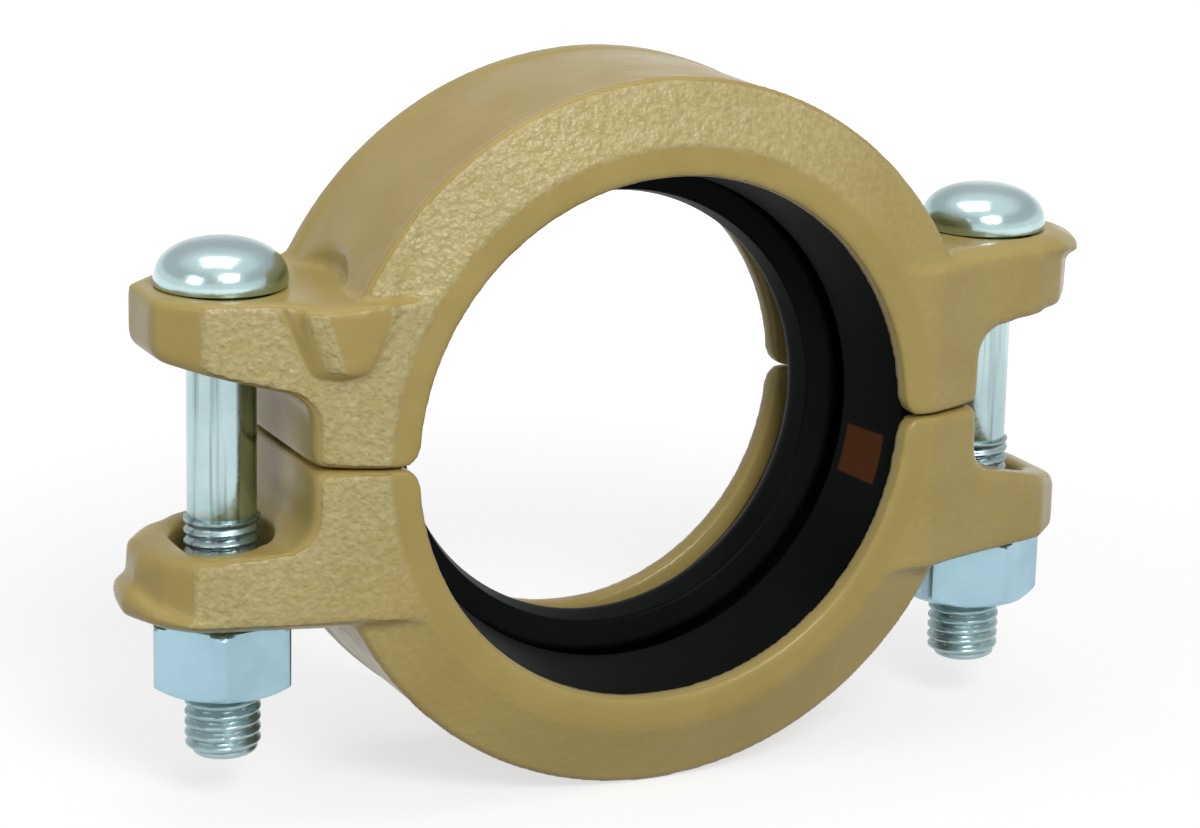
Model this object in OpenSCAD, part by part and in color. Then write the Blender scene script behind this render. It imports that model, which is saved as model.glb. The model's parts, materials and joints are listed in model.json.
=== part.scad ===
// Grooved reducing coupling: two cast housing halves round a rubber gasket, held by two track-head bolts.
// Millimetres. The pipe axis runs along Y, with the larger pipe at -Y, and the bolts run along Z.
// The origin is on the pipe axis, at the parting plane, halfway along the housing.

/* [Pipe ends] */
// Radius of the key that sits in the larger pipe's groove
near_key_r = 56; // [54:0.05:58]
// Radius of the key that sits in the smaller pipe's groove
far_key_r = 49.65; // [46:0.05:54]
// Length of each key along the pipe
key_land = 4.7; // [3.6:0.1:6]
// Chamfer at the mouth of each key
key_chamfer = 0.5; // [0.2:0.1:1]
// Rounding of the keys' corners beside the parting plane
key_corner_r = 4; // [1:0.5:6]

/* [Ring] */
// Outer radius of the ring
band_r = 76.1; // [74:0.1:84]
// Width of the housing along the pipe, over its two end faces
housing_w = 54.4; // [50:0.2:62]
// Metal over the gasket channel
ring_wall = 6.6; // [5:0.1:8]
// Breadth of the flat face round each key
face_w = 6.4; // [4:0.1:9]
// How far each end face draws back between its flat and the ring's outer edge
slope_back = 4.8; // [2:0.1:7]
// Draft of the gasket channel's side walls
channel_draft = 2.9; // [1:0.1:5]
// Rounding of the ring's outer edges
band_edge_r = 3; // [1:0.25:5]
// Depth of the band between the two rims round the ring's outside
band_recess = 0.4; // [0:0.1:1]
// Breadth of the rim on the larger pipe's side
near_rim_w = 3; // [2.5:0.1:8]
// Breadth of the rim on the smaller pipe's side
far_rim_w = 5; // [2.5:0.1:8]
// Rounding between the ring's end faces and their slopes
face_edge_r = 4; // [1:0.25:6]
// Rounding of the gasket channel's inner corners
channel_corner_r = 3; // [1:0.25:4]
// Gap left between the two halves at the parting plane
parting_gap = 0.5; // [0.2:0.1:2]

/* [Bolt pads] */
// Distance of each bolt's axis outside the ring
bolt_offset = 13; // [12:0.1:20]
// Height of the pads' outer faces above the parting plane
pad_top = 34.5; // [30:0.5:42]
// Height of the pads' inner faces where they leave the neck
pad_under = 17.6; // [12:0.2:22]
// Rise of the plain pad's inner face for each millimetre outwards
plain_rise = 0.24; // [0:0.01:0.3]
// Rise of the lipped pad's inner face for each millimetre outwards
lipped_rise = 0.09; // [0:0.01:0.3]
// Distance of the neck's outer wall outside the ring
neck_step = 0.8; // [0.4:0.1:2]
// Fillet between the neck and the pads' inner faces
neck_fillet = 7; // [3:0.5:9]
// Reach of the plain pad beyond the bolt's axis
plain_reach = 17.4; // [16.5:0.1:24]
// Half width of the plain pad where its corners begin
plain_half_w = 16.2; // [14.5:0.1:20]
// How far each of the plain pad's corners is cut back across the pipe
plain_cut_x = 8.2; // [3:0.1:8]
// How far each of the plain pad's corners is cut back along the pipe
plain_cut_y = 8.2; // [3:0.1:12]
// Rounding of the plain pad's upright corners
pad_corner_r = 4; // [0.5:0.1:4]
// Reach of the lipped pad's round end beyond the bolt's axis
lipped_reach = 19.1; // [17.5:0.1:24]
// How far the lip stands out past the round end
lip_out = 2.2; // [0.5:0.1:4]
// Thickness of the lip
lip_h = 8.4; // [7:0.1:11]
// Depth of the chamfer round the lipped pad's outer face
lip_chamfer_h = 2.1; // [0.5:0.1:3]
// Width of the chamfer round the lipped pad's outer face
lip_chamfer_w = 4; // [1:0.1:4.5]
// Radius of the spot face that clears a spanner above each pad
spot_r = 23.5; // [20:0.1:26]
// Rounding of the pads' outer edges at their ends
pad_edge_r = 1.6; // [0.5:0.1:3]
// Rounding of the pads' inner edges at their ends
pad_under_edge_r = 3.6; // [1:0.1:5]

/* [Gate boss] */
// Breadth of the wedge-shaped boss on the upper half's near face
boss_w = 20.8; // [14:0.2:28]
// Height of the boss
boss_h = 14.6; // [8:0.2:20]
// How far the boss's ridge stands out
boss_out = 3; // [1:0.1:4.5]
// Distance of the boss's ridge from its inner side
boss_ridge_x = 13; // [8:0.2:18]
// How far the boss's inner side draws in towards its foot
boss_taper = 4.4; // [0:0.2:6]
// Lean of the boss's ridge away from the pipe, in degrees
boss_lean = 18; // [0:1:30]

/* [Bolts] */
// Outer diameter of the thread
thread_d = 15.875; // [14:0.005:17]
// Diameter of the plain shank above the thread
shank_d = 14.4; // [12:0.05:14.7]
// Length of the threaded end
thread_len = 51.7; // [40:0.1:60]
// How far the bolt's end stands out below the nut
bolt_proud = 15.3; // [13:0.1:22]
// Diameter of the round head
head_d = 27.5; // [26:0.1:30]
// Height of the round head
head_h = 9.8; // [6:0.1:12]
// Rounding of the head's crown
crown_r = 8.6; // [4:0.1:10]
// Half length of the oval neck, along the pipe
neck_half_l = 12.2; // [10:0.1:12.8]
// Half width of the oval neck, across the pipe
neck_half_w = 9; // [8.1:0.1:9.3]
// Depth of the oval neck below the head
neck_h = 8; // [4:0.1:14]
// Clearance round the oval neck in its slot
neck_clearance = 0.55; // [0.3:0.05:1]
// Bevel round the slot's mouth on the pad's inner face
slot_bevel = 1.4; // [0.4:0.1:2]

/* [Nuts] */
// Width of the nut across its flats
nut_af = 28.2; // [27:0.1:30]
// Height of the nut
nut_h = 15.5; // [12:0.1:18]
// Turn of the left nut about its bolt, in degrees
left_nut_turn = 11; // [0:1:60]
// Turn of the right nut about its bolt, in degrees
right_nut_turn = 32; // [0:1:60]
// Radial clearance between the nut's bore and the thread
thread_clearance = 0.05; // [0.02:0.01:0.1]
// Chamfer of the nut's corners at both faces
nut_chamfer = 1.7; // [0.8:0.1:2.5]
// Countersink at both ends of the nut's bore
nut_mouth = 0.9; // [0.4:0.1:1.5]

/* [Gasket] */
// Clearance between the gasket and its channel
gasket_clearance = 0.3; // [0.1:0.05:0.6]
// How far the large lip's edge stands inside the larger key
near_lip_in = 3; // [1:0.1:5]
// How far the small lip's crest stands inside the smaller key
far_lip_in = 3.2; // [1:0.1:5]
// Thickness of the gasket's back
gasket_back = 6.6; // [4:0.1:8]
// Distance of the large lip's edge from the middle, towards the larger pipe
near_tip_y = 3.1; // [1.5:0.1:6]
// Distance of the small lip's edge from the middle, towards the smaller pipe
far_tip_y = 2.6; // [1.5:0.1:6]
// Thickness of the large lip
near_lip_w = 4.2; // [2.5:0.1:6]
// Thickness of the small lip
far_lip_w = 5.6; // [3:0.1:7]
// Distance of the small lip's crest behind its edge
far_crest = 6.7; // [4:0.1:9]
// Rise of the small lip's edge over its crest
far_tip_rise = 1.4; // [0.5:0.1:3]
// Step of the large lip's mouth outside the larger key
near_mouth = 1.6; // [0.5:0.1:3]
// Step of the small lip's mouth outside the smaller key
far_mouth = 3.4; // [1:0.1:5]
// Rounding of the gasket's shoulders
gasket_shoulder_r = 2.4; // [1:0.1:3]

/* [Hidden] */
$fn = 96;

PAINT = "#a5965f";
ZINC = "#aac8cd";
RUBBER = "#1c2122";

half_w = housing_w / 2;
half_gap = parting_gap / 2;
key_y = half_w - key_land;
edge_y = half_w - slope_back;
near_step_r = near_key_r + face_w;
far_step_r = far_key_r + face_w;
channel_r = band_r - ring_wall;
channel_y = key_y - channel_draft;

bolt_x = band_r + bolt_offset;
neck_x = band_r + neck_step;
// The pads' flanks stand this far outside the ring's sloping faces, so that they never graze them
flank_step = 0.7;
// Inner end of the pads, well inside the pipe way that is cut afterwards
pad_root_x = 42;
plain_x = bolt_x + plain_reach;
lipped_x = bolt_x + lipped_reach;
// Rounding where the pads' flanks leave the ring's end faces and turn along the pad
flank_edge_r = 3;
flank_turn_r = 6;
flank_x = band_r + flank_step;
// Where the lipped pad's flanks touch its round end, as an angle about the bolt's axis and a point
flank_root = [flank_x, edge_y];
touch_turn = atan2(edge_y, flank_root[0] - bolt_x) - acos(lipped_reach / norm(flank_root - [bolt_x, 0]));
touch = [bolt_x, 0] + lipped_reach * [cos(touch_turn), sin(touch_turn)];

shank_r = shank_d / 2;
thread_r = thread_d / 2;
head_r = head_d / 2;
bolt_end_z = -pad_top - nut_h - bolt_proud;
bolt_tip_r = thread_r * 0.6;
bolt_tip_h = 3.2;
slot_half_l = neck_half_l + neck_clearance;
slot_half_w = neck_half_w + neck_clearance;
nut_corner_r = nut_af / 2 / cos(30);

boss_x = near_step_r + flank_step;
boss_top = pad_top - pad_edge_r / 2;
boss_bottom = boss_top - boss_h;

// An outline is a list of [x, y, radius] corners. Each corner with a radius becomes an arc.
function arc_steps(r) = r > 6 ? 8 : r > 2 ? 5 : 3;

// Share of an edge that the corner with radius r may take, beside a corner with radius other
function edge_share(r, other) = min(0.98, r / (r + other));

function corner(p, before, after, r, share_before, share_after) =
    r <= 0 ? [p] :
    let (
        u = (before - p) / norm(before - p),
        v = (after - p) / norm(after - p),
        half = acos(max(-1, min(1, u * v))) / 2,
        reach = min(r / tan(half), norm(before - p) * share_before, norm(after - p) * share_after),
        arc_r = reach * tan(half),
        centre = p + (u + v) / norm(u + v) * arc_r / sin(half),
        from = p + u * reach - centre,
        to = p + v * reach - centre,
        start = atan2(from[1], from[0]),
        sweep = (atan2(to[1], to[0]) - start + 540) % 360 - 180,
        steps = arc_steps(arc_r)
    )
    [for (k = [0:steps]) centre + arc_r * [cos(start + sweep * k / steps), sin(start + sweep * k / steps)]];

function xy(c) = [c[0], c[1]];

function rounded(c) = [
    for (i = [0:len(c) - 1])
        let (before = c[(i + len(c) - 1) % len(c)], after = c[(i + 1) % len(c)])
        each corner(xy(c[i]), xy(before), xy(after), c[i][2],
            edge_share(c[i][2], before[2]), edge_share(c[i][2], after[2]))
];

// Half width of the gasket channel at radius r, on the side of the key whose radius is given
function channel_side(r, key_r) = key_y - channel_draft * (r - key_r) / (channel_r - key_r);

// Turns an outline of [radius, y] corners about the pipe axis
module about_pipe(outline) {
    rotate([-90, 0, 0]) rotate_extrude($fn = 180) polygon([for (p = outline) [p[0], p[1]]]);
}

// Extrudes an outline of [x, z] corners along the pipe
module along_pipe(outline, length) {
    translate([0, length / 2, 0]) rotate([90, 0, 0]) linear_extrude(height = length) polygon(outline);
}

// Everything on the upper half's side of the parting plane
module upper_side() {
    span = 4 * band_r;
    translate([-span / 2, -span / 2, half_gap]) cube([span, span, span]);
}

// The ring's outside as a solid of revolution; the pipe way is cut from it later
module ring_outside() {
    about_pipe(rounded([
        [pad_root_x - 10, -half_w, 0],
        [near_step_r, -half_w, face_edge_r],
        [band_r, -edge_y, band_edge_r],
        [band_r, near_rim_w - edge_y, 0],
        [band_r - band_recess, near_rim_w + band_recess - edge_y, 0],
        [band_r - band_recess, edge_y - far_rim_w - band_recess, 0],
        [band_r, edge_y - far_rim_w, 0],
        [band_r, edge_y, band_edge_r],
        [far_step_r, half_w, face_edge_r],
        [pad_root_x - 10, half_w, 0]
    ]));
}

// The pipe way, the two keys' bores and the gasket channel between them
module pipe_way() {
    past = 1;
    inner_r = pad_root_x - 14;
    about_pipe(rounded([
        [inner_r, -half_w - past, 0],
        [near_key_r + key_chamfer + past, -half_w - past, 0],
        [near_key_r, -half_w + key_chamfer, 0],
        [near_key_r, -key_y, 0],
        [channel_r, -channel_y, channel_corner_r],
        [channel_r, channel_y, channel_corner_r],
        [far_key_r, key_y, 0],
        [far_key_r, half_w - key_chamfer, 0],
        [far_key_r + key_chamfer + past, half_w + past, 0],
        [inner_r, half_w + past, 0]
    ]));
}

// Rounds the corner between a key's bore and the parting plane, on one side of the pipe
module key_corner_cut(key_r, from_y, to_y) {
    translate([key_r, from_y, half_gap])
        difference() {
            translate([-2, 0, -2]) cube([key_corner_r + 2, to_y - from_y, key_corner_r + 2]);
            translate([key_corner_r, -1, key_corner_r])
                rotate([-90, 0, 0]) cylinder(r = key_corner_r, h = to_y - from_y + 2, $fn = 48);
        }
}

// Corners of the plain pad's end, seen along the bolt, from the near flank to the far one
function plain_end() = [
    [plain_x - plain_cut_x, -plain_half_w, pad_corner_r],
    [plain_x, plain_cut_y - plain_half_w, pad_corner_r],
    [plain_x, plain_half_w - plain_cut_y, pad_corner_r],
    [plain_x - plain_cut_x, plain_half_w, pad_corner_r]
];

// Plan of the neck and pad, seen along the bolt: the near flank, then the end's corners, then the far flank
module pad_plan(end) {
    polygon(rounded(concat(
        [
            [pad_root_x, -half_w, 0],
            [near_step_r + flank_step, -half_w, flank_edge_r],
            [flank_x, -edge_y, flank_turn_r]
        ],
        end,
        [
            [flank_x, edge_y, flank_turn_r],
            [far_step_r + flank_step, half_w, flank_edge_r],
            [pad_root_x, half_w, 0]
        ]
    )));
}

// Side outline of a pad and its neck, seen along the pipe
function pad_side(end_x, rise) = rounded([
    [pad_root_x, half_gap, 0],
    [neck_x, half_gap, 1.2],
    [neck_x, pad_under - rise * (bolt_x - neck_x), neck_fillet],
    [end_x, pad_under + rise * (end_x - bolt_x), pad_under_edge_r],
    [end_x, pad_top, pad_edge_r],
    [pad_root_x, pad_top, 0]
]);

// The plain pad with its neck, on the +X side of the upper half
module plain_pad() {
    intersection() {
        linear_extrude(height = pad_top) pad_plan(plain_end());
        along_pipe(pad_side(plain_x, plain_rise), 2 * housing_w);
    }
}

// The lipped pad with its neck, on the +X side of the upper half
module lipped_pad() {
    difference() {
        intersection() {
            union() {
                linear_extrude(height = pad_top) pad_plan([[touch[0], -touch[1], 0], [touch[0], touch[1], 0]]);
                translate([bolt_x, 0, 0]) cylinder(r = lipped_reach, h = pad_top - lip_h + lip_out);
            }
            along_pipe(pad_side(lipped_x, lipped_rise), 2 * housing_w);
        }
        for (side = [0, 1]) mirror([0, side, 0]) flank_chamfer();
    }
    pad_lip();
}

// What the chamfer cuts off one flank of the lipped pad, run on past both of its ends
module flank_chamfer() {
    before = 34;
    past = 6;
    slope = lip_chamfer_h / lip_chamfer_w;
    translate(flank_root) rotate([0, 0, touch_turn - 90]) translate([-before, 0, 0]) rotate([90, 0, 90])
        linear_extrude(height = before + norm(touch - flank_root) + past)
            polygon([
                [-lip_chamfer_w, pad_top],
                [past, pad_top - lip_chamfer_h - slope * past],
                [past, pad_top + 1],
                [-lip_chamfer_w, pad_top + 1]
            ]);
}

// The lip round the end of the lipped pad: its round end again, moved outwards, beside the outer face
module pad_lip() {
    inner_r = lipped_reach - lip_chamfer_w - 4;
    foot = pad_top - lip_h;
    translate([bolt_x + lip_out, 0, 0])
        rotate_extrude() polygon(rounded([
            [inner_r, foot, 0],
            [lipped_reach - lip_out - 0.4, foot, 1],
            [lipped_reach, foot + lip_out, 1.6],
            [lipped_reach, pad_top - lip_chamfer_h, 2],
            [lipped_reach - lip_chamfer_w, pad_top, 3],
            [inner_r, pad_top, 0]
        ]));
    // The middle of the lip's ring, inside the pad
    translate([bolt_x + lip_out, 0, foot]) cylinder(r = inner_r + 1, h = lip_h);
}

// A slot with round ends, long along the pipe, centred on the Z axis
module slot(half_l, half_w, h) {
    straight = half_l - half_w;
    translate([-half_w, -straight, 0]) cube([2 * half_w, 2 * straight, h]);
    for (side = [-1, 1])
        translate([0, side * straight, 0]) cylinder(r = half_w, h = h);
}

// The slot's bevelled mouth, narrowing upwards by its own height
module slot_mouth(half_l, half_w, h) {
    straight = half_l - half_w;
    for (side = [-1, 1])
        translate([0, side * straight, 0]) cylinder(r1 = half_w + h, r2 = half_w, h = h);
    translate([0, straight, 0]) rotate([90, 0, 0])
        linear_extrude(height = 2 * straight)
            polygon([[-half_w - h, 0], [half_w + h, 0], [half_w, h], [-half_w, h]]);
}

// What a bolt needs of its pad: the slot and the bevel at its mouth
module bolt_slot() {
    translate([bolt_x, 0, pad_under - 6]) slot(slot_half_l, slot_half_w, pad_top);
    translate([bolt_x, 0, pad_under]) slot_mouth(slot_half_l, slot_half_w, slot_bevel);
}

// The wedge-shaped boss on the near face, on the +X side, narrowing downwards
module gate_boss() {
    slope = slope_back / (band_r - near_step_r);
    flank_slope = (edge_y - plain_half_w) / (plain_x - plain_cut_x - flank_x);
    root_y = -half_w + 3;
    far_x = boss_x + boss_w;
    ridge_y = -half_w + slope * boss_ridge_x - boss_out;
    foot_y = -edge_y + flank_slope * (far_x - flank_x) - 0.8;
    intersection() {
        translate([boss_x, 0, boss_top]) rotate([0, boss_lean, 0]) translate([0, 0, -pad_top])
            linear_extrude(height = 2 * pad_top)
                polygon(rounded([
                    [0, root_y, 0],
                    [0, -half_w, 0.6],
                    [boss_ridge_x, ridge_y, 1],
                    [boss_w, foot_y, 0.4],
                    [boss_w + 2, foot_y + 3, 0]
                ]));
        along_pipe([
            [boss_x - 1 + boss_taper, boss_bottom],
            [far_x + 2, boss_bottom],
            [far_x + 2, boss_top],
            [boss_x - 1, boss_top]
        ], 2 * housing_w);
        // The foot slopes back to the face at 45 degrees
        translate([bolt_x, 0, 0]) rotate([90, 0, -90]) linear_extrude(height = bolt_x)
            polygon([
                [-root_y - 1, boss_bottom - 3],
                [-root_y + 1, boss_bottom - 1],
                [-ridge_y + 1, boss_bottom - root_y + ridge_y + 4 + boss_out],
                [-ridge_y + 1, boss_top],
                [-root_y - 1, boss_top]
            ]);
    }
}

// One casting, as the upper half: plain pad at -X, lipped pad at +X
module half_casting(with_boss) {
    difference() {
        union() {
            difference() {
                intersection() {
                    ring_outside();
                    upper_side();
                }
                for (side = [-1, 1])
                    translate([side * bolt_x, 0, pad_top]) cylinder(r = spot_r, h = band_r);
            }
            mirror([1, 0, 0]) plain_pad();
            lipped_pad();
            if (with_boss) mirror([1, 0, 0]) gate_boss();
        }
        pipe_way();
        for (side = [0, 1]) mirror([side, 0, 0]) {
            bolt_slot();
            key_corner_cut(near_key_r, -half_w - 1, -key_y + 2);
            key_corner_cut(far_key_r, key_y - 2, half_w + 1);
        }
    }
}

module upper_housing() {
    color(PAINT) half_casting(true);
}

module lower_housing() {
    color(PAINT) rotate([0, 180, 0]) half_casting(false);
}

module gasket() {
    back_r = channel_r - gasket_clearance;
    back_y = channel_y - gasket_clearance;
    hollow_r = back_r - gasket_back;
    hollow_y = back_y - gasket_back + 0.6;
    near_mouth_r = near_key_r + near_mouth;
    far_mouth_r = far_key_r + far_mouth;
    near_tip_r = near_key_r - near_lip_in;
    crest_r = far_key_r - far_lip_in;
    far_tip_r = crest_r + far_tip_rise;
    color(RUBBER) about_pipe(rounded([
        [back_r, -back_y, gasket_shoulder_r],
        [near_mouth_r, -channel_side(near_mouth_r, near_key_r) + gasket_clearance, 0.8],
        [near_tip_r, -near_tip_y, 1],
        [near_tip_r + near_lip_w, -near_tip_y - 0.6, 1.6],
        [hollow_r, -hollow_y, 3],
        [hollow_r, hollow_y, 3],
        [far_tip_r + far_lip_w, far_tip_y - 1.4, 1.6],
        [far_tip_r, far_tip_y, 1.2],
        [crest_r, far_tip_y + far_crest, 5],
        [far_mouth_r, channel_side(far_mouth_r, far_key_r) - gasket_clearance, 0.8],
        [back_r, back_y, gasket_shoulder_r]
    ]));
}

// A track-head bolt hanging down from its pad, at the origin's X and Y
module track_bolt() {
    color(ZINC) {
        translate([0, 0, pad_top]) rotate_extrude() polygon(rounded([
            [0, 0, 0],
            [head_r - 0.6, 0, 0],
            [head_r, 0.8, 0],
            [head_r, head_h, crown_r],
            [0, head_h, 0]
        ]));
        translate([0, 0, pad_top - neck_h]) slot(neck_half_l, neck_half_w, neck_h);
        rotate_extrude() polygon([
            [0, bolt_end_z],
            [bolt_tip_r, bolt_end_z],
            [thread_r * 0.8, bolt_end_z + bolt_tip_h * 0.3],
            [thread_r * 0.94, bolt_end_z + bolt_tip_h * 0.65],
            [thread_r, bolt_end_z + bolt_tip_h],
            [thread_r, bolt_end_z + thread_len - 1.2],
            [shank_r, bolt_end_z + thread_len],
            [shank_r, pad_top - neck_h / 2],
            [0, pad_top - neck_h / 2]
        ]);
    }
}

module left_bolt() {
    translate([-bolt_x, 0, 0]) track_bolt();
}

module right_bolt() {
    translate([bolt_x, 0, 0]) track_bolt();
}

// A heavy hexagon nut, chamfered on both faces, hanging below the lower pad
module heavy_nut(turn) {
    bore_r = thread_r + thread_clearance;
    color(ZINC) translate([0, 0, -pad_top - nut_h])
        difference() {
            intersection() {
                rotate([0, 0, turn]) cylinder(r = nut_corner_r, h = nut_h, $fn = 6);
                rotate_extrude() polygon([
                    [0, 0],
                    [nut_af / 2 - 0.4, 0],
                    [nut_corner_r + 0.3, nut_chamfer],
                    [nut_corner_r + 0.3, nut_h - nut_chamfer],
                    [nut_af / 2 - 0.4, nut_h],
                    [0, nut_h]
                ]);
            }
            translate([0, 0, -1]) cylinder(r = bore_r, h = nut_h + 2);
            translate([0, 0, -1]) cylinder(r1 = bore_r + nut_mouth + 1, r2 = bore_r, h = nut_mouth + 1);
            translate([0, 0, nut_h - nut_mouth])
                cylinder(r1 = bore_r, r2 = bore_r + nut_mouth + 1, h = nut_mouth + 1);
        }
}

module left_nut() {
    translate([-bolt_x, 0, 0]) heavy_nut(left_nut_turn);
}

module right_nut() {
    translate([bolt_x, 0, 0]) heavy_nut(right_nut_turn);
}

lower_housing();
upper_housing();
gasket();
left_bolt();
right_bolt();
left_nut();
right_nut();
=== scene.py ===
"""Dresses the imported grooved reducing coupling: soft cast housings, a moulded gasket, plated bolts and nuts.

Every length is in metres, in the frame's own axes: the pipe runs along Y and the bolts run along Z.
"""

import json
import logging
import math
from dataclasses import dataclass
from enum import Enum
from typing import Callable, Iterable, Sequence, Union

import bmesh
import bpy
import numpy as np
from mathutils import Matrix, Vector


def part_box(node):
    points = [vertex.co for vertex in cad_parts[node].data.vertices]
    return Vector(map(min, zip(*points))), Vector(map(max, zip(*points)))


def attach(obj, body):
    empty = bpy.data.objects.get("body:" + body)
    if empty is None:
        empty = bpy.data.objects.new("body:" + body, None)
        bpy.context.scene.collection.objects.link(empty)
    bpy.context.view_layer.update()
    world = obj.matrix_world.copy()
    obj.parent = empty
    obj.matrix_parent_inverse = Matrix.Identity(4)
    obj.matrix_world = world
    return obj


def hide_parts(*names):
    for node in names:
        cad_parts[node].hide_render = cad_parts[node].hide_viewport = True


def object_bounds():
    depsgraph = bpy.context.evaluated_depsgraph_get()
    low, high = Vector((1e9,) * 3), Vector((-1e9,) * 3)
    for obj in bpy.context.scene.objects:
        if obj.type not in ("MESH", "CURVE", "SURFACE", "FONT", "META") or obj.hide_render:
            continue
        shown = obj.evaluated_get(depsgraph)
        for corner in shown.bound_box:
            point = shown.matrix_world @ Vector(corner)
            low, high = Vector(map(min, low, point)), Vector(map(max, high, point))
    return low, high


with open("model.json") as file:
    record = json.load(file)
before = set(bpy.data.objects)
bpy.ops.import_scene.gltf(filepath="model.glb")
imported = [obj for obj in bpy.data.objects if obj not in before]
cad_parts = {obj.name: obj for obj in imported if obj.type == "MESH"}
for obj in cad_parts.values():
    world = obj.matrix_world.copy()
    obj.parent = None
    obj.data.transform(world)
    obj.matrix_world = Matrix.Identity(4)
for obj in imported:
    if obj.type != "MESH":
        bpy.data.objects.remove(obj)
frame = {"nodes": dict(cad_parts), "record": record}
CAD_LOW, CAD_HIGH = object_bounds()
LOG = logging.getLogger("coupling")
MM = 0.001
MERGE = 1e-6
ON_AXIS = 1e-9
PAD_TOP = 34.5 * MM
BOSS_FOOT = 20.0 * MM
BOSS_RIDGE_X = 76.0 * MM
MOST_OF_EDGE = 0.49
# The scale and the detail of the grain's pits, its finer pits, its mottle and its blots.
GRAIN_LAYERS = ((1.0, 1.0), (2.3, 1.0), (0.12, 3.0), (1.25, 1.0))
MOTTLE_REACH = (0.3, 0.7)
BLOT_REACH = (0.3, 0.75)
Color = tuple[float, float, float]
Span = tuple[float, float]
Amount = Union["Num", float]
Limit = Union[float, np.ndarray]


class Side(Enum):
    """Which of the two bolts a fastener belongs to."""

    LEFT = "left"
    RIGHT = "right"


class Half(Enum):
    """Which of the two castings a housing is, with the body that it rides on."""

    LOWER = "lower"
    UPPER = "upper"


class Num:
    """A number inside a node tree. Arithmetic on it adds math nodes, in geometry and shader trees alike."""

    def __init__(self, tree: bpy.types.NodeTree, socket: bpy.types.NodeSocket) -> None:
        """Holds one output socket.

        Args:
            tree: The node tree that the number lives in.
            socket: The output socket that gives it.
        """
        self.tree = tree
        self.socket = socket

    def op(self, kind: str, *others: Amount) -> "Num":
        """Adds one math node with this number as its first input.

        Args:
            kind: The math node's operation.
            others: The operation's other inputs.

        Returns:
            The math node's result.
        """
        node = self.tree.nodes.new("ShaderNodeMath")
        node.operation = kind
        self.tree.links.new(self.socket, node.inputs[0])
        for place, other in enumerate(others, start=1):
            if isinstance(other, Num):
                self.tree.links.new(other.socket, node.inputs[place])
            else:
                node.inputs[place].default_value = other
        return Num(self.tree, node.outputs[0])

    def __add__(self, other: Amount) -> "Num":
        """Adds."""
        return self.op("ADD", other)

    def __sub__(self, other: Amount) -> "Num":
        """Subtracts."""
        return self.op("SUBTRACT", other)

    def __mul__(self, other: Amount) -> "Num":
        """Multiplies."""
        return self.op("MULTIPLY", other)

    def __truediv__(self, other: Amount) -> "Num":
        """Divides."""
        return self.op("DIVIDE", other)

    def less_from(self, start: float) -> "Num":
        """The start value less this number."""
        return (self * -1.0) + start

    def smaller(self, other: Amount) -> "Num":
        """The smaller of the two."""
        return self.op("MINIMUM", other)

    def larger(self, other: Amount) -> "Num":
        """The larger of the two."""
        return self.op("MAXIMUM", other)

    def between(self, low: float = 0.0, high: float = 1.0) -> "Num":
        """This number held between two limits."""
        return self.larger(low).smaller(high)

    def ramp(self, low: float, high: float) -> "Num":
        """Rises smoothly from 0 at the low value to 1 at the high value.

        Args:
            low: The value that gives 0.
            high: The value that gives 1. It may be the smaller of the two.

        Returns:
            The smooth step.
        """
        share = ((self - low) / (high - low)).between()
        return share * share * (share * -2.0 + 3.0)


def split(tree: bpy.types.NodeTree, vector: bpy.types.NodeSocket) -> tuple[Num, Num, Num]:
    """Splits a vector socket.

    Args:
        tree: The node tree.
        vector: The vector's socket.

    Returns:
        Its three parts.
    """
    node = tree.nodes.new("ShaderNodeSeparateXYZ")
    tree.links.new(vector, node.inputs[0])
    return Num(tree, node.outputs[0]), Num(tree, node.outputs[1]), Num(tree, node.outputs[2])


def set_input(modifier: bpy.types.Modifier, name: str, value: object) -> None:
    """Sets a geometry nodes modifier's input by the identifier of the socket with that name.

    Args:
        modifier: The modifier.
        name: The input's name in the tree's interface.
        value: The value to give it.
    """
    for item in modifier.node_group.interface.items_tree:
        if item.item_type == "SOCKET" and item.in_out == "INPUT" and item.name == name:
            modifier[item.identifier] = value
            return
    raise KeyError(name)


def add(name: str, data: bpy.types.ID) -> bpy.types.Object:
    """Adds an object to the scene.

    Args:
        name: The object's name.
        data: Its mesh, lamp or camera.

    Returns:
        The object.
    """
    obj = bpy.data.objects.new(name, data)
    bpy.context.scene.collection.objects.link(obj)
    return obj


def close_shell(shell: bmesh.types.BMesh, name: str) -> bpy.types.Mesh:
    """Ends a shell as a mesh.

    Args:
        shell: The shell. It is freed.
        name: The mesh's name.

    Returns:
        The mesh.
    """
    mesh = bpy.data.meshes.new(name)
    shell.to_mesh(mesh)
    shell.free()
    return mesh


def plain_mesh(obj: bpy.types.Object, name: str) -> bpy.types.Object:
    """Turns an object's evaluated result into a plain mesh object of its own, and removes the first one.

    Args:
        obj: The object with its modifiers.
        name: The new object's name.

    Returns:
        The new object, with no modifiers.
    """
    evaluated = obj.evaluated_get(bpy.context.evaluated_depsgraph_get())
    mesh = bpy.data.meshes.new_from_object(evaluated)
    mesh.name = name
    bpy.data.objects.remove(obj)
    return add(name, mesh)


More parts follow.
